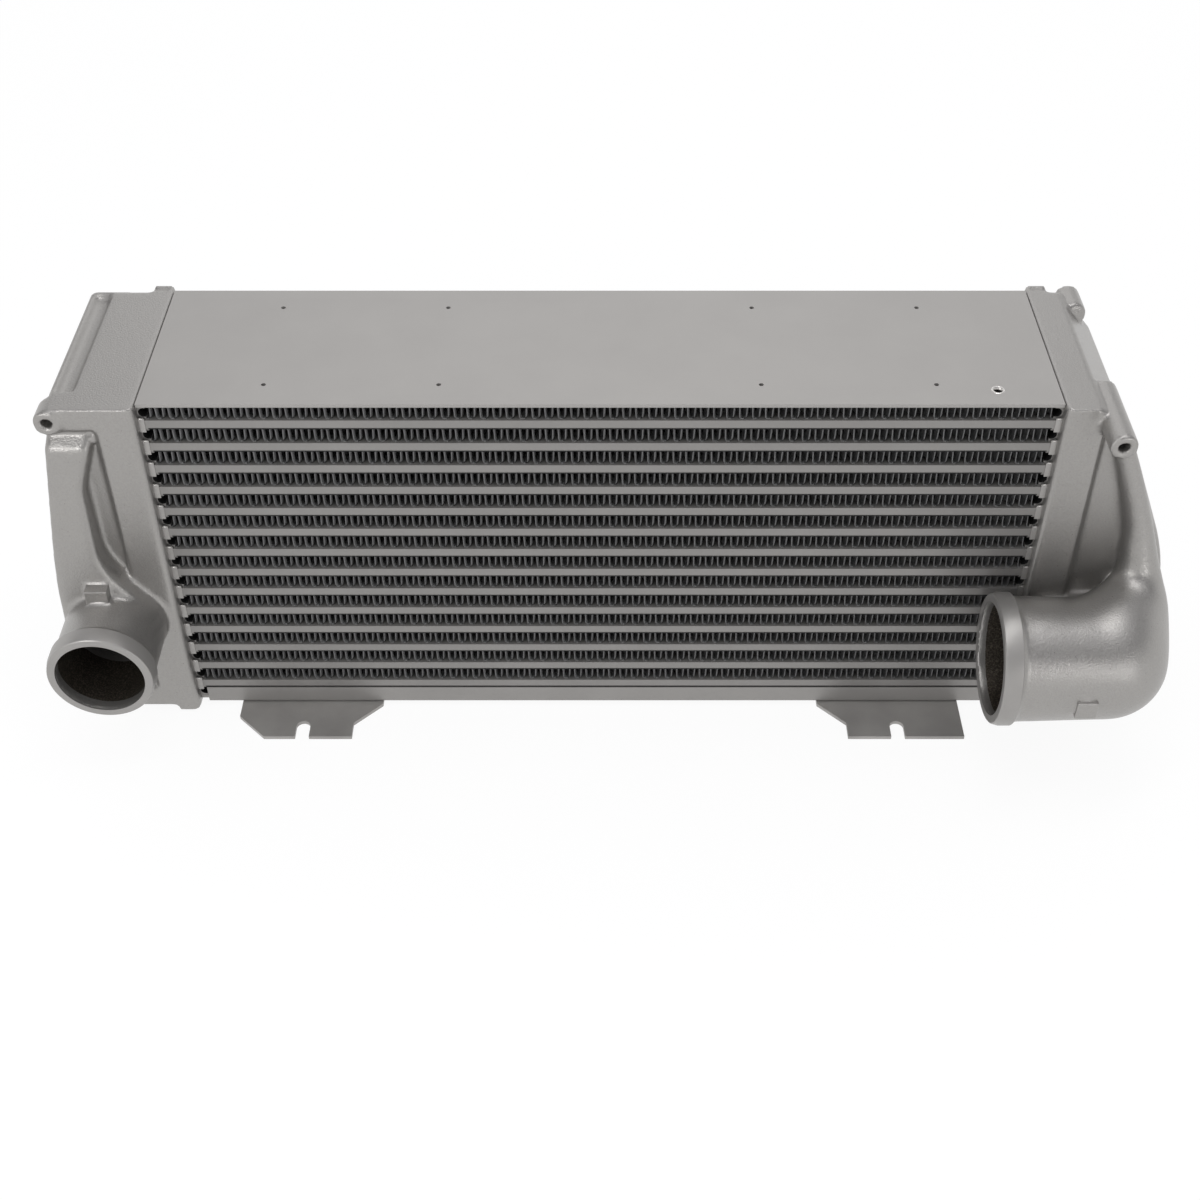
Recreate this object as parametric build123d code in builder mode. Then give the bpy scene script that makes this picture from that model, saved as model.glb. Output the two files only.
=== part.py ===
"""Charge-air intercooler: a brazed bar-and-plate core between two cast end tanks.

Frame: X runs from the left tank to the right one, the air enters the core along +Y, and Z is up.
The origin is on the underside of the feet, below the middle of the core.
"""
import os
from math import cos, radians

from build123d import *

# Core, across the tanks and through the air flow
core_length = 522.0
core_depth = 120.0
tube_count = 14
tube_height = 5.95
sheet_thickness = 0.6
tube_bar_width = 6.0
fin_height = 9.9
top_fin_height = 8.9
fin_recess = 1.6
fin_thickness = 0.5
fin_end_gap = 0.2
outer_fin_waves = 26
inner_fin_waves = 4
inner_fin_setback = 6.0
side_bar_width = 4.6
side_bar_wall = 0.9
side_bar_nose = 1.9

# Plates round the core
top_plate_thickness = 2.2
bottom_plate_thickness = 3.0
pin_hole_radius = 1.4
pin_hole_inner_x = 91.8
pin_hole_outer_x = 191.6
pin_hole_edge = 19.4
tapped_hole_radius = 3.4
tapped_hole_end = 35.3
tapped_hole_edge = 14.1

# Folded rail and the two feet
rail_thickness = 1.5
rail_flange_height = 13.5
rail_end_gap = 5.3
rail_bend = 2.5
foot_thickness = 2.5
foot_reach = 31.0
foot_root_end = 27.0
foot_width = 92.0
foot_tip_width = 74.5
foot_neck = 12.0
foot_clip = 18.0
slot_width = 9.0
slot_depth = 13.5
slot_end = 69.4

# What both tanks share
wall = 4.5
flange_width = 14.0
rib_width = 23.0
front_proud = 6.0
rear_proud = 2.0
seam_round = 4.5
rear_round = 5.0
valley_depth = 6.0
valley_draft = 30.0
sill_height = 14.0
flange_drop = 4.5
tank_clearance = 1.0
roof_thickness = 9.0
top_round = 2.5
hook_thickness = 2.5
hook_gap = 3.5
hook_root = 3.5
bead_length = 11.0
bead_crest = 4.0
lug_drop = 8.4
lug_inset = 1.5
lug_radius = 7.8
lug_hole_radius = 3.3
lug_hole_depth = 22.0

# Left tank
left_top_width = 51.0
left_full_drop = 125.0
left_shoulder = 600.0
left_corner = 28.0
left_web_height = 14.0
left_duct_inner = 37.5
left_duct_neck = 25.5
left_duct_top = 17.0
left_duct_bevel = 8.0
left_duct_front = 4.0
left_duct_slope = 9.0
left_duct_flare = 24.0
left_duct_round = 4.0
left_duct_brow = 4.0
left_duct_knee = 6.0
left_duct_sweep = 40.0
left_port_width = 37.5
left_port_drop = 157.0
left_port_reach = 60.0
left_port_radius = 30.0
left_bead_radius = 32.0
left_bore_radius = 26.5
left_lug_reach = 8.0
left_lug_length = 16.0
left_lug_hole = 12.0
pocket_width = 11.5
pocket_rim = 2.5
pocket_front = 18.5
pocket_rear = 4.5
pocket_depth = 3.5
pocket_draft = 30.0

# Right tank
right_top_width = 21.0
right_brow_width = 43.0
right_brow_drop = 24.0
right_full_width = 85.5
right_full_drop = 122.0
right_shoulder = 160.0
right_corner = 42.0
right_web_height = 6.0
right_port_drop = 154.5
right_port_reach = 45.0
right_port_inset = 26.0
right_port_radius = 38.0
right_bead_radius = 40.3
right_bore_radius = 34.0
right_elbow_width = 45.0
horn_cone = 0.96
root_rise = 15.0
root_inset = 1.5
right_lug_width = 28.0
right_lug_reach = 30.0
right_lug_length = 56.0
rear_lug_length = 23.0
rear_lug_reach = 2.0
rear_lug_hole = 15.0

# Small cast pads on the spigots
pad_width = 13.0
pad_length = 8.5
pad_height = 8.5
left_pad_shift = 2.8
left_pad_back = 1.5
right_pad_width = 11.0
right_pad_inset = 18.0
right_pad_drop = 4.5
right_pad_height = 2.0

# Heights, from the feet up
rail_z = foot_thickness
bottom_plate_z = rail_z + rail_thickness
stack_z = bottom_plate_z + bottom_plate_thickness
tube_pitch = fin_height + tube_height
top_plate_z = stack_z + tube_count * tube_pitch + top_fin_height
top_z = top_plate_z + top_plate_thickness

# Planes that several pieces meet
seam_x = core_length / 2
front_y = -core_depth / 2
fin_half_depth = core_depth / 2 - fin_recess
fin_half_length = seam_x - side_bar_width - fin_end_gap
tank_front = core_depth / 2 + front_proud
body_rear = core_depth / 2 + rear_proud
body_front = tank_front - valley_depth
body_bottom = tank_clearance + flange_drop

os.makedirs("parts", exist_ok=True)
pieces = []


def tube_top(number):
    """Height of the upper face of a charge tube, counted from the top."""
    return top_plate_z - top_fin_height - (number - 1) * tube_pitch


def air_row(number):
    """Lower face and height of an air row, counted from the top."""
    if number == 1:
        return top_plate_z - top_fin_height, top_fin_height
    return tube_top(number - 1) - tube_height - fin_height, fin_height


def wave_points(length, height, waves, thickness):
    """Closed outline of a sheet folded in straight waves, centred on its middle line."""
    half = length / 2
    step = length / (2 * waves)
    swing = height / 2 - thickness / 2
    upper, lower = [], []
    for index in range(2 * waves + 1):
        crest = swing if index % 2 else -swing
        place = -half + index * step
        upper.append((place, crest + thickness / 2))
        lower.append((place, crest - thickness / 2))
    return upper + lower[::-1]


# Top plate with its pin holes and one tapped hole
with BuildPart() as top_plate:
    with BuildSketch(Plane.XY.offset(top_plate_z)):
        Rectangle(core_length, core_depth)
        pin_y = core_depth / 2 - pin_hole_edge
        for pin_x in (pin_hole_inner_x, pin_hole_outer_x):
            with GridLocations(2 * pin_x, 2 * pin_y, 2, 2):
                Circle(pin_hole_radius, mode=Mode.SUBTRACT)
        with Locations((seam_x - tapped_hole_end, front_y + tapped_hole_edge)):
            Circle(tapped_hole_radius, mode=Mode.SUBTRACT)
    extrude(amount=top_plate_thickness)
top_plate.part.label = "top_plate"
pieces.append(top_plate.part)

# Plate under the last air row, inside the rail's flanges
with BuildPart() as bottom_plate:
    with BuildSketch(Plane.XY.offset(bottom_plate_z)):
        Rectangle(core_length, 2 * (fin_half_depth + rail_thickness - rail_bend))
    extrude(amount=bottom_plate_thickness)
bottom_plate.part.label = "bottom_plate"
pieces.append(bottom_plate.part)

# Rail under the core, one sheet folded up along its front and rear edges
rail_half = core_depth / 2
with BuildPart() as lower_rail:
    with BuildSketch(Plane.YZ):
        with BuildLine():
            FilletPolyline(
                (-rail_half, rail_z + rail_flange_height),
                (-rail_half, rail_z),
                (rail_half, rail_z),
                (rail_half, rail_z + rail_flange_height),
                radius=rail_bend,
            )
            offset(amount=-rail_thickness, side=Side.LEFT)
        make_face()
    extrude(amount=seam_x - rail_end_gap, both=True)
lower_rail.part.label = "lower_rail"
pieces.append(lower_rail.part)


# Feet under the rail, each with an open slot for a mounting bolt
def foot_outline(side):
    """Plan of a foot as X, Y points from its outer rear corner, forward and back."""
    outer = side * (seam_x - foot_root_end)
    inner = outer - side * foot_width
    tip_inner = outer - side * foot_tip_width
    tip_y = front_y - foot_reach
    points = [(outer, core_depth / 2)]
    if side < 0:
        points += [(outer, tip_y + foot_clip), (outer + foot_clip, tip_y)]
    else:
        points += [(outer, tip_y)]
    points += [(tip_inner, tip_y), (tip_inner, tip_y + foot_neck)]
    points += [(inner, tip_y + foot_neck + foot_width - foot_tip_width)]
    return points + [(inner, core_depth / 2)]


for side, name in ((-1, "left_foot_bracket"), (1, "right_foot_bracket")):
    with BuildPart() as foot:
        with BuildSketch():
            with BuildLine():
                Polyline(*foot_outline(side), close=True)
            make_face()
            slot_x = side * (seam_x - slot_end)
            with Locations((slot_x, front_y - foot_reach)):
                SlotCenterToCenter(2 * slot_depth - slot_width, slot_width, rotation=90, mode=Mode.SUBTRACT)
        extrude(amount=foot_thickness)
    foot.part.label = name
    pieces.append(foot.part)

# Charge tubes: two parting sheets and two bars brazed into one flat tube
tube_inside_depth = core_depth - 2 * tube_bar_width
tube_inside_height = tube_height - 2 * sheet_thickness
for number in range(1, tube_count + 1):
    middle_z = tube_top(number) - tube_height / 2
    with BuildPart() as charge_tube:
        with BuildSketch(Plane.YZ):
            with Locations((0, middle_z)):
                Rectangle(core_depth, tube_height)
                Rectangle(tube_inside_depth, tube_inside_height, mode=Mode.SUBTRACT)
        extrude(amount=seam_x, both=True)
    charge_tube.part.label = f"charge_tube_{number:02d}"
    pieces.append(charge_tube.part)

    with BuildPart() as inner_fin:
        with BuildSketch(Plane.YZ):
            with Locations((0, middle_z)):
                Polygon(*wave_points(tube_inside_depth, tube_inside_height, inner_fin_waves, fin_thickness))
        extrude(amount=seam_x - inner_fin_setback, both=True)
    inner_fin.part.label = f"inner_fin_{number:02d}"
    pieces.append(inner_fin.part)

# Outer fins, one folded strip in each air row
for number in range(1, tube_count + 2):
    row_z, row_height = air_row(number)
    with BuildPart() as outer_fin:
        with BuildSketch(Plane.XZ):
            with Locations((0, row_z + row_height / 2)):
                Polygon(*wave_points(2 * fin_half_length, row_height, outer_fin_waves, fin_thickness))
        extrude(amount=fin_half_depth, both=True)
    outer_fin.part.label = f"outer_fin_{number:02d}"
    pieces.append(outer_fin.part)


# Channel bars that close each air row beside a tank, open towards the fins
def channel_points(back, mouth, low, high, nose):
    """Outline of a bar's end with its two corners on the tank side cut at 45 degrees."""
    step = nose if mouth > back else -nose
    return [(mouth, low), (back + step, low), (back, low + nose),
            (back, high - nose), (back + step, high), (mouth, high)]


for side, name in ((-1, "left_side_bars"), (1, "right_side_bars")):
    back = side * seam_x
    mouth = side * (seam_x - side_bar_width)
    inner_back = back - side * side_bar_wall
    inner_nose = side_bar_nose - side_bar_wall * (2 - 2 * cos(radians(45)))
    with BuildPart() as side_bars:
        with BuildSketch(Plane.XZ):
            for number in range(1, tube_count + 2):
                low, row_height = air_row(number)
                high = low + row_height
                Polygon(*channel_points(back, mouth, low, high, side_bar_nose), align=None)
                inside = channel_points(
                    inner_back, mouth, low + side_bar_wall, high - side_bar_wall, inner_nose
                )
                Polygon(*inside, align=None, mode=Mode.SUBTRACT)
        extrude(amount=fin_half_depth, both=True)
    side_bars.part.label = name
    pieces.append(side_bars.part)

# Middle lines of the ports and lugs
left_port_x = -(seam_x + left_port_width)
left_port_z = top_z - left_port_drop
left_full_width = left_port_width + left_port_radius
left_mouth_y = front_y - left_port_reach
right_port_y = front_y - right_port_reach
right_port_z = top_z - right_port_drop
right_mouth_x = seam_x - right_port_inset
lug_z = top_z - lug_drop
left_lug_x = -(seam_x + left_top_width - lug_inset)
right_lug_x = seam_x + right_lug_width


def closed_profile(plane, points, radii):
    """Face inside a closed chain of lines, each corner rounded by its own radius."""
    with BuildSketch(plane) as profile:
        with BuildLine():
            FilletPolyline(*points, radius=radii, close=True)
        make_face()
    return profile.sketch


def tank_outline(side, wall_line, wall_radii, corner):
    """Front view of a tank: roof, outer wall as (width, drop) points, belly and the foot of the flange."""
    full_width = wall_line[-1][0]
    points = [(0, top_z)] + [(width, top_z - drop) for width, drop in wall_line]
    points += [(full_width, body_bottom), (flange_width, body_bottom)]
    points += [(flange_width, tank_clearance), (0, tank_clearance)]
    radii = (0, *wall_radii, corner, 0, 0, 0)
    return closed_profile(Plane.XZ, [(side * (seam_x + width), height) for width, height in points], radii)


def cavity_outline(side, wall_line, wall_radii, corner):
    """Front view of a tank's inside, carried past the seam so that it opens on the core."""
    floor_z = body_bottom + wall
    roof_z = top_z - roof_thickness
    full_width = wall_line[-1][0] - wall
    points = [(-wall, roof_z), (wall_line[0][0] - wall, roof_z)]
    points += [(width - wall, top_z - drop) for width, drop in wall_line[1:]]
    points += [(full_width, floor_z), (-wall, floor_z)]
    radii = (0, *wall_radii, corner - wall, 0)
    return closed_profile(Plane.XZ, [(side * (seam_x + width), height) for width, height in points], radii)


def valley_outline(side, web_height, full_width):
    """Hollow in the front wall, from the core flange out past the outer wall."""
    top = top_z - web_height
    bottom = body_bottom + sill_height
    near = seam_x + rib_width
    far = seam_x + 2 * full_width
    with BuildSketch(Plane.XZ.offset(tank_front)) as outline:
        with Locations((side * (near + far) / 2, (top + bottom) / 2)):
            Rectangle(far - near, top - bottom)
    return outline.sketch


def hook_groove(side):
    """Groove behind the core flange that leaves a thin hooked lip along the rear edge."""
    middle = seam_x + (hook_root + 2 * flange_width) / 2
    with BuildSketch() as groove:
        with Locations((side * middle, tank_front - hook_thickness - hook_gap / 2)):
            Rectangle(2 * flange_width - hook_root, hook_gap)
    return groove.sketch


def spigot_outline(radius, bead_radius, mouth, root, root_radius):
    """Half section of a spigot with its hose bead, as (along, out) from the middle line."""
    lip_radius = (radius + bead_radius) / 2
    inward = 1 if root > mouth else -1
    crest = mouth + inward * bead_crest
    back = mouth + inward * bead_length
    return [(mouth, 0), (mouth, lip_radius), (crest, bead_radius), (back, bead_radius),
            (back, radius), (root, root_radius), (root, 0)]


def tank_shell(shape, web_height):
    """A tank before its ports: front valley, core flange and hooked lip along the rear."""
    side, wall_line = shape[:2]
    full_width = wall_line[-1][0]
    with BuildPart() as shell:
        with BuildSketch(Plane.XZ.offset(tank_front)):
            add(tank_outline(*shape))
        extrude(amount=-(tank_front + body_rear))
        rear = shell.edges().filter_by_position(Axis.Y, body_rear - 0.1, body_rear + 0.1)
        fillet(rear.filter_by(lambda edge: abs(edge.center().X) > seam_x + 1), rear_round)
        extrude(valley_outline(side, web_height, full_width), amount=-valley_depth, taper=valley_draft,
                mode=Mode.SUBTRACT)
        with BuildSketch(Plane.XY.offset(tank_clearance)):
            with Locations((side * (seam_x + flange_width / 2), 0)):
                Rectangle(flange_width, 2 * tank_front)
        extrude(amount=top_z - tank_clearance)
        with BuildSketch(Plane.XY.offset(tank_clearance)):
            add(hook_groove(side))
        extrude(amount=top_z, mode=Mode.SUBTRACT)
        upright = shell.edges().filter_by(Axis.Z)
        fillet(upright.filter_by_position(Axis.X, side * seam_x - 0.1, side * seam_x + 0.1), seam_round)
    return shell.part


def duct_blank(outline, side_points, side_radii, rim_round):
    """Duct in front of a tank: a front view and a side view that cross, with a rounded rim."""
    with BuildPart() as duct:
        extrude(outline, amount=2 * tank_front)
        side_view = closed_profile(Plane.YZ, side_points, side_radii)
        add(extrude(side_view, amount=2 * seam_x, both=True, mode=Mode.PRIVATE), mode=Mode.INTERSECT)
        rim = duct.edges().filter_by(lambda edge: edge.bounding_box().max.Y < -tank_front)
        rim = rim.filter_by(lambda edge: edge.bounding_box().size.Z > 0.1)
        fillet(rim, rim_round)
    return duct.part


def duct_hollow(shape, strip_points, side_points):
    """Space inside a duct: the tank's inner outline within a strip, cut to the duct's slope."""
    with BuildPart() as hollow:
        with BuildSketch(Plane.XZ):
            add(cavity_outline(*shape))
            add(closed_profile(Plane.XZ, strip_points, (0,) * len(strip_points)), mode=Mode.INTERSECT)
        extrude(amount=2 * tank_front)
        side_view = closed_profile(Plane.YZ, side_points, (0,) * len(side_points))
        add(extrude(side_view, amount=2 * seam_x, both=True, mode=Mode.PRIVATE), mode=Mode.INTERSECT)
    return hollow.part


def lug(place_x, reach, length):
    """Round lug along Y at the top of a tank, ending at the given reach in front of the core's middle."""
    with BuildPart() as blank:
        with BuildSketch(Plane.XZ.offset(reach)):
            with Locations((place_x, lug_z)):
                Circle(lug_radius)
        extrude(amount=-length)
    return blank.part


def lug_hole(place_x, reach, depth):
    """Blind hole in a lug's end face, along Y."""
    with BuildPart() as blank:
        with BuildSketch(Plane.XZ.offset(reach)):
            with Locations((place_x, lug_z)):
                Circle(lug_hole_radius)
        extrude(amount=-depth)
    return blank.part


# Left duct: front and side views of the channel that leads down into the spigot
left_wall_line = ((left_top_width, 0), (left_full_width, left_full_drop))
left_shape = (-1, left_wall_line, (top_round, left_shoulder), left_corner)
duct_root = body_front - wall
left_inner_x = -(seam_x + left_duct_inner)
left_outer_x = -(seam_x + 2 * left_full_width)
left_duct_top_z = top_z - left_duct_top
left_duct_y = -(tank_front + left_duct_front)
left_step_y = left_duct_y - left_duct_slope
left_duct_end_z = left_port_z + left_port_radius
left_neck_x = -(seam_x + left_duct_neck)
left_waist = (left_duct_top_z - left_duct_end_z) / 3
left_flank = (
    (left_outer_x, left_duct_top_z),
    (left_neck_x, left_duct_top_z),
    (left_inner_x, left_duct_top_z - left_waist),
    (left_inner_x, left_duct_end_z + left_waist / 2),
    (left_port_x + left_port_radius, left_port_z + left_port_radius / 3),
    (left_port_x + left_port_radius, left_port_z),
    (left_outer_x, left_port_z),
)
left_flank_radii = (0, 0, left_duct_sweep, left_duct_sweep, left_duct_flare, 0, 0)
with BuildSketch(Plane.XZ) as left_duct_outline:
    add(tank_outline(*left_shape))
    add(closed_profile(Plane.XZ, left_flank, left_flank_radii), mode=Mode.INTERSECT)
    with Locations((left_port_x, left_port_z)):
        Circle(left_port_radius)
left_side_points = (
    (-duct_root, left_duct_top_z),
    (left_duct_y + left_duct_bevel, left_duct_top_z),
    (left_duct_y, left_duct_top_z - left_duct_bevel),
    (left_step_y, left_duct_end_z),
    (left_step_y, left_port_z - left_port_radius),
    (-duct_root, left_port_z - left_port_radius),
)
left_side_radii = (0, left_duct_brow, left_duct_knee, left_duct_sweep, 0, 0)
left_hollow_strip = (
    (left_inner_x - wall, left_duct_top_z - wall),
    (left_outer_x, left_duct_top_z - wall),
    (left_outer_x, left_port_z),
    (left_inner_x - wall, left_port_z),
)
left_hollow_side = (
    (0, left_duct_top_z - wall),
    (left_duct_y + left_duct_bevel + wall, left_duct_top_z - wall),
    (left_duct_y + wall, left_duct_top_z - left_duct_bevel - wall),
    (left_step_y + wall, left_duct_end_z),
    (left_step_y + wall, left_port_z),
    (0, left_port_z),
)

# Left tank
left_pipe = spigot_outline(left_port_radius, left_bead_radius, left_mouth_y, -duct_root, left_port_radius)
with BuildPart() as left_tank:
    add(tank_shell(left_shape, left_web_height))
    add(duct_blank(left_duct_outline.sketch, left_side_points, left_side_radii, left_duct_round))
    with BuildSketch(Plane.YZ.offset(left_port_x)):
        with Locations((0, left_port_z)):
            Polygon(*left_pipe, align=None)
    revolve(axis=Axis((left_port_x, 0, left_port_z), (0, 1, 0)))
    add(lug(left_lug_x, core_depth / 2 + left_lug_reach, left_lug_length))
    with BuildSketch(Plane.XY.offset(left_port_z)):
        with Locations((left_port_x - left_pad_shift, left_step_y + left_pad_back - pad_length / 2)):
            Rectangle(pad_width, pad_length)
    extrude(amount=left_port_radius + pad_height)
    extrude(cavity_outline(*left_shape), amount=duct_root, mode=Mode.SUBTRACT)
    extrude(cavity_outline(*left_shape), amount=-(body_rear - wall), mode=Mode.SUBTRACT)
    add(duct_hollow(left_shape, left_hollow_strip, left_hollow_side), mode=Mode.SUBTRACT)
    with BuildSketch(Plane.XZ.offset(left_port_reach + core_depth / 2)):
        with Locations((left_port_x, left_port_z)):
            Circle(left_bore_radius)
    extrude(amount=-(left_port_reach + wall + valley_depth), mode=Mode.SUBTRACT)
    add(lug_hole(left_lug_x, core_depth / 2 + left_lug_reach, left_lug_hole), mode=Mode.SUBTRACT)
    pocket_y = (-tank_front + pocket_front + body_rear - pocket_rear) / 2
    pocket_length = body_rear - pocket_rear + tank_front - pocket_front
    with BuildSketch(Plane.XY.offset(top_z)):
        with Locations((-(seam_x + left_top_width - pocket_rim - pocket_width / 2), pocket_y)):
            Rectangle(pocket_width, pocket_length)
    extrude(amount=-pocket_depth, taper=pocket_draft, mode=Mode.SUBTRACT)

# Right horn: a chain of balls joined by cones, from the elbow's corner up to the lug. Each row has the way
# along, back and up from the corner, as parts of the port's radius, the horn's depth and its rise, and the
# ball's size as a part of the port's radius
right_wall_line = (
    (right_top_width, 0),
    (right_brow_width, right_brow_drop),
    (right_full_width, right_full_drop),
)
right_shape = (1, right_wall_line, (top_round, top_round, right_shoulder), right_corner)
elbow_x = seam_x + right_elbow_width
horn_back = -(right_port_y + tank_front)
horn_rise = lug_z - right_port_z
horn_balls = (
    (-0.06, 0.00, 0.00, 0.96),
    (0.02, 0.12, 0.04, 0.89),
    (0.38, 0.60, 0.14, 0.57),
    (0.47, 0.88, 0.27, 0.34),
    (0.34, 1.01, 0.48, 0.22),
    (0.07, 1.07, 0.70, 0.17),
    (-0.24, 1.10, 0.91, 0.145),
)


def horn(inset, count):
    """Solid round the first balls of the horn, each drawn in by the inset, with a cone inside each gap."""
    with BuildPart() as blank:
        for index, (along, back, up, size) in enumerate(horn_balls[:count]):
            radius = size * right_port_radius - inset
            middle = Vector(
                elbow_x + along * right_port_radius,
                right_port_y + back * horn_back,
                right_port_z + up * horn_rise,
            )
            with Locations(middle):
                Sphere(radius)
            if index:
                span = middle - last_middle
                ends = (horn_cone * last_radius, horn_cone * radius)
                with Locations(Plane(last_middle, z_dir=span)):
                    Cone(*ends, span.length, align=(Align.CENTER, Align.CENTER, Align.MIN))
            last_middle, last_radius = middle, radius
    return blank.part


def root_outline(radius, roof_z):
    """Front view of the passage from the elbow's corner into the tank, flat at its top."""
    with BuildSketch(Plane.XZ) as outline:
        with Locations((elbow_x, right_port_z)):
            Circle(radius)
        with Locations((elbow_x, roof_z - radius)):
            Rectangle(2 * radius, 2 * radius, mode=Mode.INTERSECT)
    return outline.sketch


# Right tank
root_radius = right_port_radius - root_inset
root_top_z = right_port_z + root_rise
right_pipe = spigot_outline(right_port_radius, right_bead_radius, right_mouth_x, elbow_x, root_radius)
with BuildPart() as right_tank:
    add(tank_shell(right_shape, right_web_height))
    extrude(root_outline(root_radius, root_top_z), amount=-right_port_y)
    add(horn(0, len(horn_balls)))
    with BuildSketch(Plane.XZ.offset(-right_port_y)):
        with Locations((0, right_port_z)):
            Polygon(*right_pipe, align=None)
    revolve(axis=Axis((0, right_port_y, right_port_z), (1, 0, 0)))
    with BuildSketch(Plane.XZ.offset(-right_port_y)):
        with Locations((seam_x + right_pad_inset + right_pad_width / 2, right_port_z - right_pad_drop)):
            Rectangle(right_pad_width, right_pad_width)
    extrude(amount=right_port_radius + right_pad_height)
    add(lug(right_lug_x, core_depth / 2 + right_lug_reach, right_lug_length))
    add(lug(right_lug_x, rear_lug_length - tank_front - rear_lug_reach, rear_lug_length))
    extrude(cavity_outline(*right_shape), amount=duct_root, mode=Mode.SUBTRACT)
    extrude(cavity_outline(*right_shape), amount=-(body_rear - wall), mode=Mode.SUBTRACT)
    extrude(root_outline(root_radius - wall, root_top_z - wall), amount=-right_port_y, mode=Mode.SUBTRACT)
    add(horn(wall, 3), mode=Mode.SUBTRACT)
    with BuildSketch(Plane.YZ.offset(right_mouth_x)):
        with Locations((right_port_y, right_port_z)):
            Circle(right_bore_radius)
    extrude(amount=elbow_x - right_mouth_x, mode=Mode.SUBTRACT)
    add(lug_hole(right_lug_x, core_depth / 2 + right_lug_reach, lug_hole_depth), mode=Mode.SUBTRACT)
    add(lug_hole(right_lug_x, -tank_front - rear_lug_reach, -rear_lug_hole), mode=Mode.SUBTRACT)

for tank, name in ((left_tank, "left_tank"), (right_tank, "right_tank")):
    tank.part.label = name
    pieces.append(tank.part)

for piece in pieces:
    export_step(piece, f"parts/{piece.label}.step")
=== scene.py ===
"""Intercooler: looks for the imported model, seen from the photograph's side.

The core's plates, tubes and feet keep their solids. The fins, the end bars and the two cast tanks
are replaced by finer pieces that keep the same outline. All lengths are in metres.
"""
from math import cos, inf, pi, radians, sin

import bpy
import numpy as np
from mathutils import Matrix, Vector


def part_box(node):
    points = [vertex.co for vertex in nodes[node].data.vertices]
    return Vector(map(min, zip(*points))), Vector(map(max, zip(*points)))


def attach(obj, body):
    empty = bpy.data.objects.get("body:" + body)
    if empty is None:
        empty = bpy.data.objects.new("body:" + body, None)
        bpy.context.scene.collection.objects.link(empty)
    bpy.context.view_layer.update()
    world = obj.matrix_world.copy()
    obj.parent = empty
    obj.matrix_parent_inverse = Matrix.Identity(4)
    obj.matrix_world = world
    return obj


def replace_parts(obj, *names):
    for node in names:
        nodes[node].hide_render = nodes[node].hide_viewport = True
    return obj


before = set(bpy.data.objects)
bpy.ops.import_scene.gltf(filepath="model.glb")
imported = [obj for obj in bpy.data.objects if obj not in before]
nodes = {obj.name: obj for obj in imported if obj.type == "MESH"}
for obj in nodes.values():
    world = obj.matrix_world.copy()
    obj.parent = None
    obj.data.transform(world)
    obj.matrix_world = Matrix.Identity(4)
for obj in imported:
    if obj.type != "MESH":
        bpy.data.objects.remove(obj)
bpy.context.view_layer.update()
mm = 0.001

# The photograph's camera, worked out from the core's four corners
camera_elevation = 42.02
camera_place = (0.0, -827.4 * mm, 783.9 * mm)
camera_lens = 50.0
camera_sensor = 36.0

# Fins as they really are: narrow square waves with rounded crests, as (along, up) shares of a wave
fin_rows = 15
fin_pitch = 7.3 * mm
fin_edge = 0.5 * mm
fin_sway = 1.4 * mm
fin_wave = 9.5 * mm
fin_crest = (
    (0.00, -1.0), (0.19, -0.94), (0.26, -0.6), (0.29, 0.6), (0.36, 0.94),
    (0.50, 1.0), (0.64, 0.94), (0.71, 0.6), (0.74, -0.6), (0.81, -0.94),
)
crest_share = 0.9

# Stations along a fin's depth, near its front and its rear
sway_steps = 6
near_stations = 11

# End bars of the air rows: half the height of their hollow and the wall beside the tank
hollow_half = 2.9 * mm
hollow_wall = 0.5 * mm
hollow_steps = 12

# Pale teeth between the bars and the tanks, with a drop of braze metal on each whose bright glossy tone
# is a painted glint
tooth_width = 3.4 * mm
tooth_cut = 0.4 * mm
tooth_proud = 0.35 * mm
drop_inset = 0.45
drop_sink = 0.5 * mm
drop_radii = (1.3 * mm, 0.6 * mm, 0.55 * mm)

# Painted shadow lines: thin near-black strips at the foot of each bar's face, where the parting sheets'
# edges lie
edge_height = 0.7 * mm
edge_half = 0.3 * mm
edge_sunk = 0.22 * mm

# Middle lines of the ports, as in the solids
left_port_x, left_port_z = -298.5 * mm, 83 * mm
right_port_y, right_port_z = -105 * mm, 85.5 * mm

# Painted shade inside the ports: middle, how much each direction counts, and radius
port_shade_bores = (
    ((left_port_x, -95 * mm, left_port_z), (1, 0.45, 1), 27.6 * mm),
    ((258 * mm, right_port_y, right_port_z), (0.45, 1, 1), 34.9 * mm),
)

# Hose beads as closed (along, out) outlines in millimetres, from the mouth inwards
left_bead_ring = (
    (0, 26.6), (0, 30.7), (0.5, 31.3), (4, 32.0), (10.4, 32.0), (11, 31.4), (11, 29.0), (1, 26.6),
)
right_bead_ring = (
    (0, 34.2), (0, 38.6), (0.6, 39.3), (4, 40.3), (10.4, 40.3), (11, 39.7), (11, 37.0), (1, 34.2),
)
bead_sharp = radians(25)

# Rim of the tapped hole: its place on the top plate and its (out, up) outline
insert_place = (225.7 * mm, -45.9 * mm)
insert_rim = ((3.9, 0.0), (3.6, 0.25), (2.9, 0.25), (2.6, -1.6))
insert_steps = 32

# Castings: how far their edges are softened
cast_voxel = 1.6 * mm
cast_relax = 2

# Cast pads on the spigots, as low and high X, Y and Z in millimetres
cast_pad_boxes = (
    (-308.2, -294.4, -86.4, -77, 108, 122),
    (279.3, 291.7, -145.28, -138, 75, 87.2),
)
pad_bevel = 0.5 * mm

# The elbow's straight pipe
pipe_radius = 38 * mm
pipe_taper = 0.025
pipe_ends = (246 * mm, 304 * mm)

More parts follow.
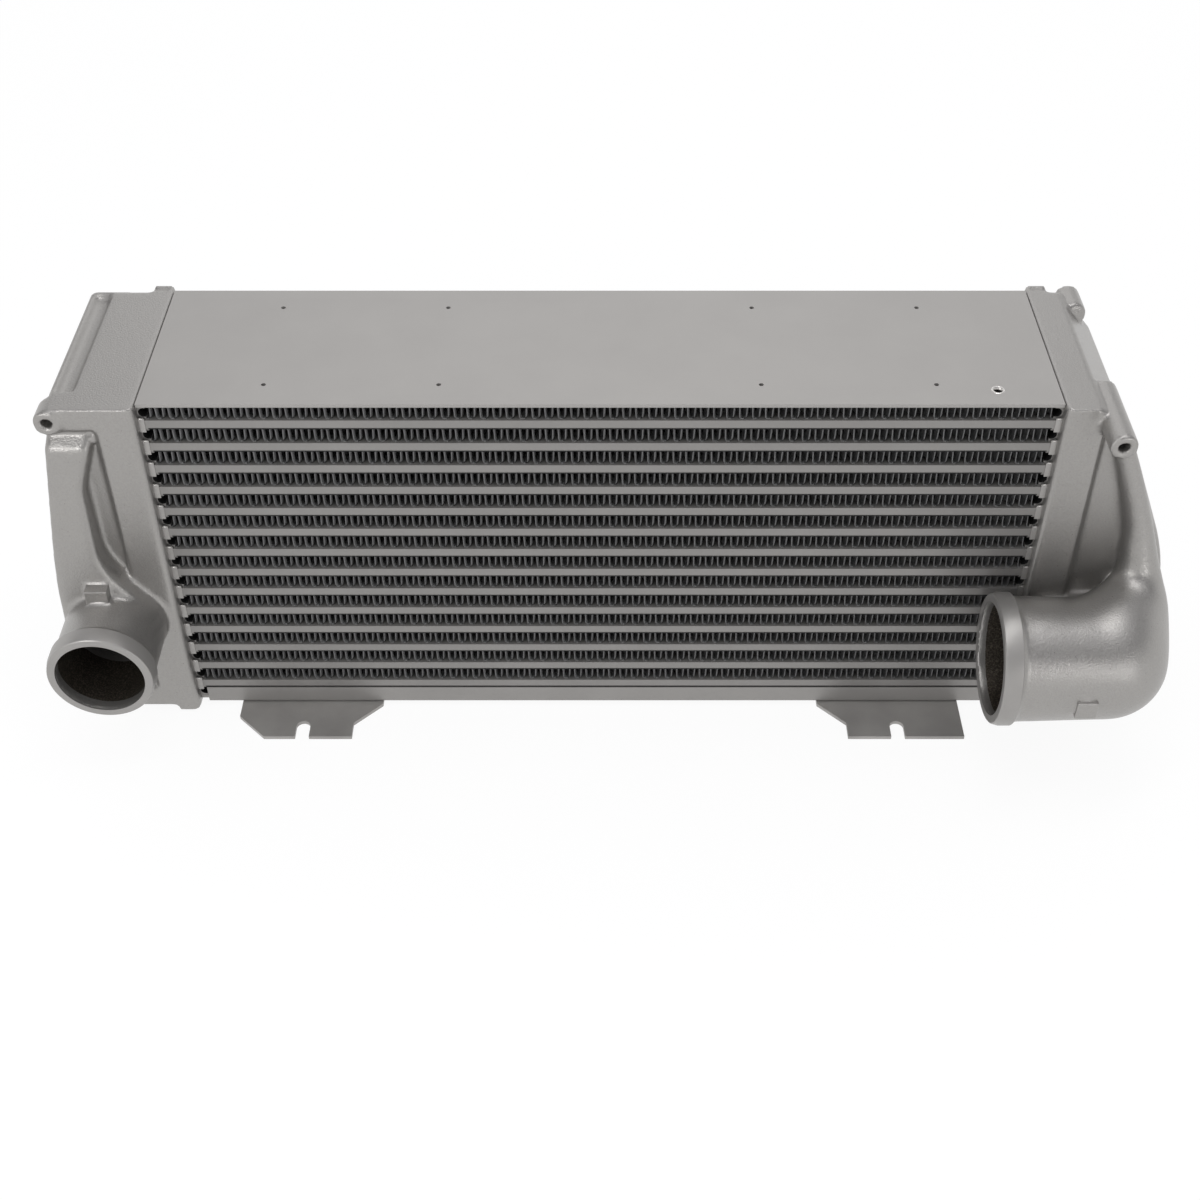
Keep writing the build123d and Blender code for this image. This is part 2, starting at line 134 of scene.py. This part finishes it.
# The horn's middle line from the elbow's corner up to the lug, with its thickness, in the solid's
# own proportions: each row is taken times the scale and added to the start
horn_start = (306, -105, 85.5, 0)
horn_scale = (38, 39, 146.1, 38)
horn_line = (
    (-0.06, 0.00, 0.00, 0.965),
    (0.02, 0.12, 0.04, 0.90),
    (0.38, 0.60, 0.14, 0.58),
    (0.47, 0.88, 0.27, 0.35),
    (0.34, 1.01, 0.48, 0.225),
    (0.07, 1.07, 0.70, 0.175),
    (-0.24, 1.10, 0.91, 0.145),
)
horn_steps = 160
horn_blend = 22 * mm

# Where and how far the skin is pushed out: past an X and in front of a Y, where it faces outwards
swell_past_x, swell_front_y = 256 * mm, -50 * mm
swell_turns = 3
skin_depth = 9 * mm
skin_facing = 0.15

# Where the skin is evened out, in millimetres: past an X and in front of a Y, all under a top.
# The share grows from a start in X, and fades towards an end in Z down to the least share
flow_turns = 40
flow_zones = ((262, -70), (285, -58), (300, inf))
flow_top = 225
flow_start, flow_growth = 258, 20
flow_end, flow_fade = 190, 50
flow_least = 0.12

# Lamps: name, place, width and height in metres, power in watts
lamps = (
    ("rear", (0.0, 1.9, 1.8), 2.2, 2.2, 10),
    ("over", (0.1, -0.12, 1.1), 1.0, 0.2, 3),
    ("left", (-0.62, -0.75, 0.62), 0.3, 0.2, 2.2),
    ("right", (0.62, -0.75, 0.34), 0.12, 0.12, 0.5),
)
lamp_target = (0, 0, 0.1)

# World: its colour and strength as a light. Seen in the metal, it is white up to a height, and
# faintly blue greys lie above it, as (height, level)
world_colour = (0.9, 0.9, 0.92, 1)
world_strength = 0.95
world_white = 0.28
world_greys = ((0.48, 0.55), (0.64, 0.28), (0.80, 0.28), (0.91, 1))
world_blue = 1.03

# Floor: half its size, how far it lies under the feet, its colour and how much of it glows
floor_half = 40
floor_drop = 0.05 * mm
floor_colour = (0.92, 0.92, 0.92, 1)
floor_glow = 0.91


def link(obj, body="root"):
    """Puts a new piece in the scene and lets it ride on the core's body."""
    bpy.context.scene.collection.objects.link(obj)
    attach(obj, body)
    return obj


def mesh_piece(name, points, faces, smooth=True):
    """New piece from corner points and faces."""
    mesh = bpy.data.meshes.new(name)
    mesh.from_pydata(points, [], faces)
    mesh.validate()
    mesh.polygons.foreach_set("use_smooth", [smooth] * len(mesh.polygons))
    return link(bpy.data.objects.new(name, mesh))


def add_camera():
    """Camera at the photograph's place and angle."""
    data = bpy.data.cameras.new("camera")
    data.lens = camera_lens
    data.sensor_width = camera_sensor
    camera = bpy.data.objects.new("camera", data)
    camera.location = camera_place
    camera.rotation_euler = (radians(90 - camera_elevation), 0, 0)
    bpy.context.scene.collection.objects.link(camera)
    bpy.context.scene.camera = camera


def grey(value, warm=0.02):
    """Warm grey of a given brightness, as linear colour."""
    return (value * (1 + 1.6 * warm), value, value * (1 - 1.9 * warm))


def colour_ramp(tree, source, stops):
    """Colour of a 0 to 1 value, by rising stops of (place, colour)."""
    ramp = tree.nodes.new("ShaderNodeValToRGB")
    elements = ramp.color_ramp.elements
    elements.remove(elements[0])
    elements[0].position = stops[0][0]
    for place, colour in stops[1:]:
        elements.new(place)
    for element, (place, colour) in zip(elements, stops):
        element.color = (*colour, 1)
    tree.links.new(source, ramp.inputs["Fac"])
    return ramp.outputs["Color"]


class Nodes:
    """Short way to build a material's node tree."""

    def __init__(self, name):
        self.material = bpy.data.materials.new(name)
        self.material.use_nodes = True
        self.tree = self.material.node_tree
        self.shader = self.tree.nodes["Principled BSDF"]
        self.place = self.add("ShaderNodeTexCoord").outputs["Object"]

    def add(self, kind, **values):
        """New node with some of its own settings."""
        node = self.tree.nodes.new(kind)
        for key, value in values.items():
            setattr(node, key, value)
        return node

    def join(self, source, target):
        """Link from an output to an input."""
        self.tree.links.new(source, target)

    def noise(self, scale, detail=3.0, rough=0.5, stretch=(1, 1, 1)):
        """Noise over the object's own coordinates, in waves per metre."""
        mapping = self.add("ShaderNodeMapping")
        mapping.inputs["Scale"].default_value = stretch
        self.join(self.place, mapping.inputs["Vector"])
        noise = self.add("ShaderNodeTexNoise")
        noise.inputs["Scale"].default_value = scale
        noise.inputs["Detail"].default_value = detail
        noise.inputs["Roughness"].default_value = rough
        self.join(mapping.outputs["Vector"], noise.inputs["Vector"])
        return noise.outputs["Fac"]

    def ramp(self, source, *stops):
        """Colour by stops of (place, colour)."""
        return colour_ramp(self.tree, source, stops)

    def span(self, source, low, high):
        """Spreads a 0 to 1 value over low to high."""
        span = self.add("ShaderNodeMapRange")
        span.inputs["To Min"].default_value = low
        span.inputs["To Max"].default_value = high
        self.join(source, span.inputs["Value"])
        return span.outputs["Result"]

    def within(self, middle, spread, reach):
        """1 inside an ellipsoid round the middle, and 0 outside it."""
        mapping = self.add("ShaderNodeMapping")
        mapping.inputs["Location"].default_value = [-a * b for a, b in zip(middle, spread)]
        mapping.inputs["Scale"].default_value = spread
        self.join(self.place, mapping.inputs["Vector"])
        distance = self.add("ShaderNodeVectorMath", operation="LENGTH")
        self.join(mapping.outputs["Vector"], distance.inputs[0])
        near = self.add("ShaderNodeMath", operation="LESS_THAN")
        near.inputs[1].default_value = reach
        self.join(distance.outputs["Value"], near.inputs[0])
        return near.outputs[0]

    def bump(self, source, depth, strength=1.0, before=None):
        """Bump of a real depth in metres."""
        bump = self.add("ShaderNodeBump")
        bump.inputs["Strength"].default_value = strength
        bump.inputs["Distance"].default_value = depth
        self.join(source, bump.inputs["Height"])
        if before:
            self.join(before, bump.inputs["Normal"])
        return bump.outputs["Normal"]

    def feed(self, **sources):
        """Links outputs to the shader's own inputs."""
        for key, source in sources.items():
            self.join(source, self.shader.inputs[key.replace("_", " ")])

    def set(self, **values):
        """Fixed values of the shader's own inputs."""
        for key, value in values.items():
            self.shader.inputs[key.replace("_", " ")].default_value = value


def rolled_sheet(name, tone, roughness, blotch):
    """Satin rolled aluminium with faint blotches and a fine grain."""
    made = Nodes(name)
    cloud = made.noise(28, 4)
    fine = made.noise(2600, 2)
    made.feed(
        Base_Color=made.ramp(cloud, (0.3, grey(tone * (1 - blotch))), (0.7, grey(tone * (1 + blotch)))),
        Roughness=made.span(fine, roughness - 0.06, roughness + 0.08),
        Normal=made.bump(fine, 0.02 * mm, 0.5),
    )
    made.set(Metallic=0.6)
    return made.material


def cast_metal(name, tone, roughness):
    """Sand-cast aluminium, blasted: a fine grain over soft swells, with painted shade inside the ports.
    """
    made = Nodes(name)
    grain = made.noise(900, 2, 0.7)
    cloud = made.noise(34, 3)
    inside = made.add("ShaderNodeMath", operation="MAXIMUM")
    for bore, target in zip(port_shade_bores, inside.inputs):
        made.join(made.within(*bore), target)
    mix = made.add("ShaderNodeMix", data_type="RGBA")
    made.join(inside.outputs[0], mix.inputs["Factor"])
    made.join(made.ramp(grain, (0.36, grey(tone * 0.95)), (0.64, grey(tone * 1.05))), mix.inputs["A"])
    # Painted shade: a dark brown-grey inside the ports stands in for the shade deep in the bores
    made.join(made.ramp(grain, (0.45, grey(0.06, 0.1)), (0.75, grey(0.2, 0.1))), mix.inputs["B"])
    made.feed(
        Base_Color=mix.outputs["Result"],
        Roughness=made.span(grain, roughness - 0.14, roughness + 0.14),
        Normal=made.bump(grain, 0.35 * mm, 0.7, made.bump(cloud, 0.25 * mm, 0.35)),
    )
    made.set(Metallic=0.8)
    return made.material


def fin_metal(name, tone):
    """Thin dull fin sheet with faint streaks."""
    made = Nodes(name)
    streak = made.noise(220, 3, 0.6, (1, 0.3, 0.3))
    made.feed(Base_Color=made.ramp(streak, (0.3, grey(tone * 0.85, 0)), (0.7, grey(tone * 1.15, 0))))
    made.set(Metallic=0.5, Roughness=0.6)
    return made.material


def near_black_shade(name, tone):
    """Nearly black metal: painted shade for deep recesses and for shadow lines."""
    made = Nodes(name)
    made.feed(Roughness=made.span(made.noise(900, 2), 0.6, 0.85))
    made.set(Base_Color=(*grey(tone, 0), 1), Metallic=0.3)
    return made.material


plate_metal = rolled_sheet("plate_metal", tone=0.335, roughness=0.5, blotch=0.02)
rail_metal = rolled_sheet("rail_metal", tone=0.28, roughness=0.48, blotch=0.04)
bar_metal = rolled_sheet("bar_metal", tone=0.24, roughness=0.45, blotch=0.04)
tooth_metal = rolled_sheet("tooth_metal", tone=0.34, roughness=0.4, blotch=0.05)
bracket_metal = rolled_sheet("bracket_metal", tone=0.34, roughness=0.5, blotch=0.12)
bead_metal = rolled_sheet("bead_metal", tone=0.30, roughness=0.40, blotch=0.05)
# Pale glossy metal: the insert's rim, and the braze drops, whose bright tone paints their glints
pale_metal_and_glint = rolled_sheet("pale_metal_and_glint", tone=0.6, roughness=0.22, blotch=0.05)
tank_metal = cast_metal("tank_metal", tone=0.32, roughness=0.34)
fin_material = fin_metal("fin_metal", tone=0.16)
# Painted shade: near-black stands in for the shade in the row ends' hollows and for the shadow under
# each bar
painted_shade_metal = near_black_shade("painted_shade_metal", tone=0.010)

# Materials of the nodes that keep their solids, by how the node's name starts
core_looks = (
    ("top_plate", plate_metal),
    ("bottom_plate", plate_metal),
    ("lower_rail", rail_metal),
    ("left_foot_bracket", bracket_metal),
    ("right_foot_bracket", bracket_metal),
    ("charge_tube", bar_metal),
    ("inner_fin", fin_material),
)


def paint_core():
    """Gives the nodes that keep their solids their materials."""
    for name, node in nodes.items():
        for start, material in core_looks:
            if name.startswith(start):
                node.data.materials.clear()
                node.data.materials.append(material)


def fin_line(low, high):
    """A fin's edge seen from the front, as (x, z) points from end to end."""
    waves = round((high.x - low.x) / fin_pitch)
    pitch = (high.x - low.x) / waves
    half = (high.z - low.z) / 2
    middle = (high.z + low.z) / 2
    line = []
    for wave in range(waves):
        start = low.x + wave * pitch
        line += [(start + along * pitch, middle + up * half) for along, up in fin_crest]
    return line + [(high.x, middle - half)]


def fin_depths(front, rear):
    """Stations along a fin's depth: close together where the eye reaches in, far apart between."""
    near = [fin_wave * step / sway_steps for step in range(near_stations)]
    return [front + d for d in near] + [(front + rear) / 2] + [rear - d for d in reversed(near)]


def edge_inside(x, y, z, low, high):
    """The point of a cut edge's inner side next to a point of its outer side."""
    half = (high.z - low.z) / 2
    middle = (high.z + low.z) / 2
    if z > middle + crest_share * half:
        return x, y, z - fin_edge
    if z < middle - crest_share * half:
        return x, y, z + fin_edge
    return x + fin_edge, y, z


def outer_fins():
    """Each cooling fin as a thin wavy sheet with a cut edge at the front and rear."""
    for number in range(1, fin_rows + 1):
        node = f"outer_fin_{number:02d}"
        low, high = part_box(node)
        line = fin_line(low, high)
        count = len(line)
        depths = fin_depths(low.y, high.y)
        points, faces = [], []
        for y in depths:
            sway = fin_sway * sin(2 * pi * (y - low.y) / fin_wave)
            for index, (x, z) in enumerate(line):
                points.append((x + sway if 0 < index < count - 1 else x, y, z))
        for station in range(len(depths) - 1):
            for a in range(station * count, (station + 1) * count - 1):
                faces.append((a, a + 1, a + 1 + count, a + count))
        for outer in (0, (len(depths) - 1) * count):
            first = len(points)
            points += [edge_inside(*point, low, high) for point in points[outer:outer + count]]
            for i in range(count - 1):
                faces.append((outer + i, outer + i + 1, first + i + 1, first + i))
        piece = mesh_piece(f"fin_{number:02d}", points, faces)
        piece.data.materials.append(fin_material)
        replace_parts(piece, node)


class Shape:
    """Gathers prisms and balls into one piece of one or two materials."""

    def __init__(self):
        self.points, self.faces, self.inner = [], [], []

    def prism(self, outline, low_y, high_y, inner=()):
        """Block along Y with an outline in X and Z. The listed sides take the second material."""
        first = len(self.points)
        count = len(outline)
        self.points += [(x, y, z) for y in (low_y, high_y) for x, z in outline]
        for i in range(count):
            if i in inner:
                self.inner.append(len(self.faces))
            after = (i + 1) % count
            self.faces.append((first + i, first + after, first + after + count, first + i + count))
        self.faces.append(tuple(range(first + count - 1, first - 1, -1)))
        self.faces.append(tuple(range(first + count, first + 2 * count)))

    def ball(self, middle, radii, rings=6, sides=10):
        """Small rounded blob with its own radius along each axis."""
        first = len(self.points)
        for ring in range(rings + 1):
            tilt = pi * ring / rings
            for step in range(sides):
                turn = 2 * pi * step / sides
                unit = (sin(tilt) * cos(turn), sin(tilt) * sin(turn), cos(tilt))
                self.points.append(tuple(m + r * u for m, r, u in zip(middle, radii, unit)))
        for ring in range(rings):
            for step in range(sides):
                a = first + ring * sides + step
                b = first + ring * sides + (step + 1) % sides
                self.faces.append((a, a + sides, b + sides, b))

    def piece(self, name, materials, slot, smooth=False):
        """The new piece with all that was gathered."""
        made = mesh_piece(name, self.points, self.faces, smooth)
        for material in materials:
            made.data.materials.append(material)
        for index in self.inner:
            made.data.polygons[index].material_index = 1
        return made


def row_ends(side, name):
    """End bars of the air rows: thick channels with a round hollow that opens on the fins, its inside
    painted near-black as shade.
    """
    node = f"{name}_side_bars"
    low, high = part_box(node)
    seam = side * max(abs(low.x), abs(high.x))
    open_end = side * min(abs(low.x), abs(high.x))
    turn = seam - side * (hollow_wall + hollow_half)
    shape = Shape()
    for number in range(1, fin_rows + 1):
        row_low, row_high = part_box(f"outer_fin_{number:02d}")
        middle = (row_low.z + row_high.z) / 2
        outline = [(seam, row_low.z), (seam, row_high.z), (open_end, row_high.z)]
        first_inner = len(outline)
        outline.append((open_end, middle + hollow_half))
        for step in range(hollow_steps + 1):
            angle = pi / 2 - pi * step / hollow_steps
            x = turn + side * hollow_half * cos(angle)
            outline.append((x, middle + hollow_half * sin(angle)))
        inner = range(first_inner, len(outline))
        outline += [(open_end, middle - hollow_half), (open_end, row_low.z)]
        shape.prism(outline, low.y, high.y, inner)
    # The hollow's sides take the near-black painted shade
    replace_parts(shape.piece(f"{name}_row_ends", (bar_metal, painted_shade_metal), "core_bar"), node)


def painted_shadow_lines():
    """Painted shadow lines: near-black strips at the foot of each bar, at the front and rear, where the
    parting sheets' edges lie.
    """
    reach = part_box("outer_fin_02")[1].x
    for name, turn in (("front", -1), ("rear", 1)):
        shape = Shape()
        for number in range(1, fin_rows):
            low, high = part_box(f"charge_tube_{number:02d}")
            face = turn * (high.y - edge_sunk)
            top = low.z + edge_height
            corners = ((-reach, low.z), (-reach, top), (reach, top), (reach, low.z))
            shape.prism(corners, face - edge_half, face + edge_half)
        # Near-black painted shade stands in for the shadow under each bar
        shape.piece(f"painted_shadow_lines_{name}", (painted_shade_metal,), "core_plate")


def row_teeth():
    """Brazed ends between the bars and the tanks: a pale tooth at each bar, with a drop whose bright
    tone paints a glint.
    """
    for side, name in ((-1, "left"), (1, "right")):
        shape, drops = Shape(), Shape()
        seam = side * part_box("charge_tube_01")[1].x
        inner = seam - side * tooth_width
        for number in range(1, fin_rows):
            low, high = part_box(f"charge_tube_{number:02d}")
            top = (high.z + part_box(f"outer_fin_{number:02d}")[1].z) / 2 - hollow_half
            foot = (low.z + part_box(f"outer_fin_{number + 1:02d}")[0].z) / 2 + hollow_half
            corners = (
                (inner, foot), (inner, top - tooth_cut), (inner + side * tooth_cut, top),
                (seam, top), (seam, foot),
            )
            for turn in (-1, 1):
                face = turn * high.y
                shape.prism(corners, face - tooth_proud, face + tooth_proud)
                drops.ball((seam - side * tooth_width * drop_inset, face, top - drop_sink), drop_radii)
        shape.piece(f"{name}_row_teeth", (tooth_metal,), "core_bar")
        drops.piece(f"{name}_braze_beads", (pale_metal_and_glint,), "core_bar", smooth=True)


def hose_bead(name, outline, middle, along, steps=96):
    """Turned bead at a spigot's mouth, with crisp edges, round a line along X or Y."""
    shape = Shape()
    count = len(outline)
    for step in range(steps):
        angle = 2 * pi * step / steps
        for reach, out in outline:
            c, s = out * mm * cos(angle), out * mm * sin(angle)
            offset = (reach * mm, c, s) if along == "x" else (c, reach * mm, s)
            shape.points.append(middle + Vector(offset))
    for step in range(steps):
        for i in range(count):
            a, b = step * count, (step + 1) % steps * count
            shape.faces.append((a + i, a + (i + 1) % count, b + (i + 1) % count, b + i))
    piece = shape.piece(name, (bead_metal,), "cast_tank", smooth=True)
    piece.data.set_sharp_from_angle(angle=bead_sharp)


def spigot_beads():
    """Beads on both spigots, at the ends of the tanks' own boxes."""
    mouth_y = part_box("left_tank")[0].y
    hose_bead("left_bead", left_bead_ring, Vector((left_port_x, mouth_y, left_port_z)), "y")
    mouth_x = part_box("right_tank")[0].x
    hose_bead("right_bead", right_bead_ring, Vector((mouth_x, right_port_y, right_port_z)), "x")


def insert_ring():
    """Threaded insert's bright rim round the tapped hole in the top plate."""
    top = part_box("top_plate")[1].z
    x, y = insert_place
    count = len(insert_rim)
    shape = Shape()
    for step in range(insert_steps):
        angle = 2 * pi * step / insert_steps
        for out, up in insert_rim:
            c, s = out * mm * cos(angle), out * mm * sin(angle)
            shape.points.append((x + c, y + s, top + up * mm))
    for step in range(insert_steps):
        for i in range(count - 1):
            a, b = step * count + i, (step + 1) % insert_steps * count + i
            shape.faces.append((a, b, b + 1, a + 1))
    shape.piece("insert_ring", (pale_metal_and_glint,), "core_plate", smooth=True)


def horn_spheres():
    """Dense row of spheres along the horn's smooth middle line, each as (x, y, z, radius)."""
    middles = (np.array(horn_start) + np.array(horn_scale) * np.array(horn_line)) * mm
    last = len(middles) - 1
    spheres = []
    for step in np.linspace(0, last, horn_steps):
        i = min(int(step), last - 1)
        part = step - i
        before, start = middles[max(i - 1, 0)], middles[i]
        end, after = middles[i + 1], middles[min(i + 2, last)]
        turn = 3 * (start - end) + after - before
        bend = 2 * before - 5 * start + 4 * end - after + part * turn
        spheres.append(start + 0.5 * part * (end - before + part * bend))
    return spheres


def elbow_depth(points, spheres):
    """How far points are outside the elbow, and which way is out, with pipe and horn melted."""
    horn = np.full(len(points), 1.0)
    horn_out = np.zeros_like(points)
    for sphere in spheres:
        off = points - sphere[:3]
        reach = np.linalg.norm(off, axis=1)
        nearer = reach - sphere[3] < horn
        horn[nearer] = (reach - sphere[3])[nearer]
        horn_out[nearer] = (off / reach[:, None])[nearer]
    along = np.clip(points[:, 0], *pipe_ends)
    off = points - np.stack([along, np.full(len(points), right_port_y),
                             np.full(len(points), right_port_z)], axis=1)
    reach = np.linalg.norm(off, axis=1)
    pipe = reach - (pipe_radius - pipe_taper * (along - pipe_ends[0]))
    pipe_out = off / reach[:, None]
    blend = horn_blend * np.clip(1 - (horn_out * pipe_out).sum(1), 0.001, 1)
    share = np.clip(0.5 + 0.5 * (pipe - horn) / blend, 0, 1)
    depth = pipe + (horn - pipe) * share - blend * share * (1 - share)
    out = horn_out * share[:, None] + pipe_out * (1 - share[:, None])
    return depth, out / np.linalg.norm(out, axis=1)[:, None]


def swell_horn(mesh):
    """Fills the hollows between the elbow's balls and its pipe, so that the skin has no waist."""
    spheres = horn_spheres()
    points = np.empty(3 * len(mesh.vertices))
    mesh.vertices.foreach_get("co", points)
    normals = np.empty(3 * len(mesh.vertices))
    mesh.vertices.foreach_get("normal", normals)
    points, normals = points.reshape(-1, 3), normals.reshape(-1, 3)
    near = np.where((points[:, 0] > swell_past_x) & (points[:, 1] < swell_front_y))[0]
    for _ in range(swell_turns):
        depth, out = elbow_depth(points[near], spheres)
        skin = (out * normals[near]).sum(1) > skin_facing
        push = np.where(skin & (depth < 0) & (depth > -skin_depth), -depth, 0)
        points[near] += out * push[:, None]
    mesh.vertices.foreach_set("co", points.ravel())
    mesh.update()


def flow_share(x, y, z):
    """How much the skin is evened out at a point in millimetres: 0 off the elbow, less near the lug."""
    if z < flow_top and any(x > past and y < front for past, front in flow_zones):
        grown = min(1, (x - flow_start) / flow_growth)
        return grown * min(1, max(flow_least, (flow_end - z) / flow_fade))
    return 0


def even_skin(piece):
    """Smooths the elbow's skin, where it is the elbow and not the tank's flange."""
    flow = piece.vertex_groups.new(name="flow")
    for vertex in piece.data.vertices:
        share = flow_share(*(vertex.co / mm))
        if share:
            flow.add([vertex.index], share, "REPLACE")
    even = piece.modifiers.new("even", "SMOOTH")
    even.factor = 0.5
    even.iterations = flow_turns
    even.vertex_group = "flow"


def soft_casting(name):
    """A tank with the soft edges and rounded inner corners of a casting, from its own solid."""
    rough = bpy.data.objects.new("rough", nodes[name].data.copy())
    bpy.context.scene.collection.objects.link(rough)
    remesh = rough.modifiers.new("voxels", "REMESH")
    remesh.mode = "VOXEL"
    remesh.voxel_size = cast_voxel
    remesh.use_smooth_shade = True
    relax = rough.modifiers.new("relax", "SMOOTH")
    relax.factor = 0.5
    relax.iterations = cast_relax
    depsgraph = bpy.context.evaluated_depsgraph_get()
    mesh = bpy.data.meshes.new_from_object(rough.evaluated_get(depsgraph))
    bpy.data.objects.remove(rough)
    if name == "right_tank":
        swell_horn(mesh)
    mesh.materials.clear()
    mesh.materials.append(tank_metal)
    piece = link(bpy.data.objects.new(f"{name}_casting", mesh))
    if name == "right_tank":
        even_skin(piece)
    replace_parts(piece, name)


def cast_pads():
    """Crisp square pads on both spigots, over the softer ones of the castings."""
    shape = Shape()
    for box in cast_pad_boxes:
        x0, x1, y0, y1, z0, z1 = (side * mm for side in box)
        shape.prism(((x0, z0), (x0, z1), (x1, z1), (x1, z0)), y0, y1)
    pads = shape.piece("cast_pads", (tank_metal,), "cast_tank")
    bevel = pads.modifiers.new("edges", "BEVEL")
    bevel.width = pad_bevel
    bevel.segments = 2


def add_lights():
    """Soft lamps behind, above and at both front corners, at a plain level."""
    for name, place, width, height, power in lamps:
        data = bpy.data.lights.new(name, "AREA")
        data.shape = "RECTANGLE"
        data.size = width
        data.size_y = height
        data.energy = power
        lamp = bpy.data.objects.new(name, data)
        lamp.visible_camera = False
        lamp.location = place
        aim = Vector(lamp_target) - Vector(place)
        lamp.rotation_euler = aim.to_track_quat("-Z", "Y").to_euler()
        bpy.context.scene.collection.objects.link(lamp)


def background_mix(tree, real, seen):
    """One shader for the camera and for reflections, and another that lights the rest."""
    path = tree.nodes.new("ShaderNodeLightPath")
    seen_by = path.outputs["Is Camera Ray"]
    for name in ("Is Glossy Ray", "Is Transmission Ray"):
        most = tree.nodes.new("ShaderNodeMath")
        most.operation = "MAXIMUM"
        tree.links.new(seen_by, most.inputs[0])
        tree.links.new(path.outputs[name], most.inputs[1])
        seen_by = most.outputs[0]
    mix = tree.nodes.new("ShaderNodeMixShader")
    tree.links.new(seen_by, mix.inputs["Fac"])
    tree.links.new(real, mix.inputs[1])
    tree.links.new(seen, mix.inputs[2])
    return mix.outputs[0]


def add_world():
    """Pale studio world: seen white at the horizon and overhead with a grey band between."""
    world = bpy.data.worlds.new("studio")
    bpy.context.scene.world = world
    world.use_nodes = True
    tree = world.node_tree
    real = tree.nodes["Background"]
    real.inputs["Color"].default_value = world_colour
    real.inputs["Strength"].default_value = world_strength
    place = tree.nodes.new("ShaderNodeTexCoord")
    split = tree.nodes.new("ShaderNodeSeparateXYZ")
    tree.links.new(place.outputs["Generated"], split.inputs[0])
    stops = [(world_white, (1, 1, 1))]
    stops += [(height, (level, level, level * world_blue)) for height, level in world_greys]
    seen = tree.nodes.new("ShaderNodeBackground")
    tree.links.new(colour_ramp(tree, split.outputs["Z"], stops), seen.inputs["Color"])
    shown = background_mix(tree, real.outputs[0], seen.outputs[0])
    tree.links.new(shown, tree.nodes["World Output"].inputs["Surface"])


def add_floor():
    """Plain white floor that keeps a faint shadow."""
    half = floor_half
    mesh = bpy.data.meshes.new("floor")
    corners = [(-half, -half, 0), (half, -half, 0), (half, half, 0), (-half, half, 0)]
    mesh.from_pydata(corners, [], [(0, 1, 2, 3)])
    floor = bpy.data.objects.new("floor", mesh)
    floor.location.z = -floor_drop
    bpy.context.scene.collection.objects.link(floor)
    made = Nodes("floor_white")
    made.set(Base_Color=floor_colour, Roughness=0.9)
    glow = made.add("ShaderNodeEmission")
    glow.inputs["Color"].default_value = (1, 1, 1, 1)
    mix = made.add("ShaderNodeMixShader")
    mix.inputs["Fac"].default_value = floor_glow
    made.join(made.shader.outputs[0], mix.inputs[1])
    made.join(glow.outputs[0], mix.inputs[2])
    shown = background_mix(made.tree, made.shader.outputs[0], mix.outputs[0])
    made.join(shown, made.tree.nodes["Material Output"].inputs["Surface"])
    mesh.materials.append(made.material)


add_camera()
paint_core()
row_ends(-1, "left")
row_ends(1, "right")
painted_shadow_lines()
row_teeth()
cast_pads()
spigot_beads()
insert_ring()
outer_fins()
for tank in ("left_tank", "right_tank"):
    soft_casting(tank)
add_lights()
add_world()
add_floor()
bpy.context.scene.view_settings.view_transform = "Standard"
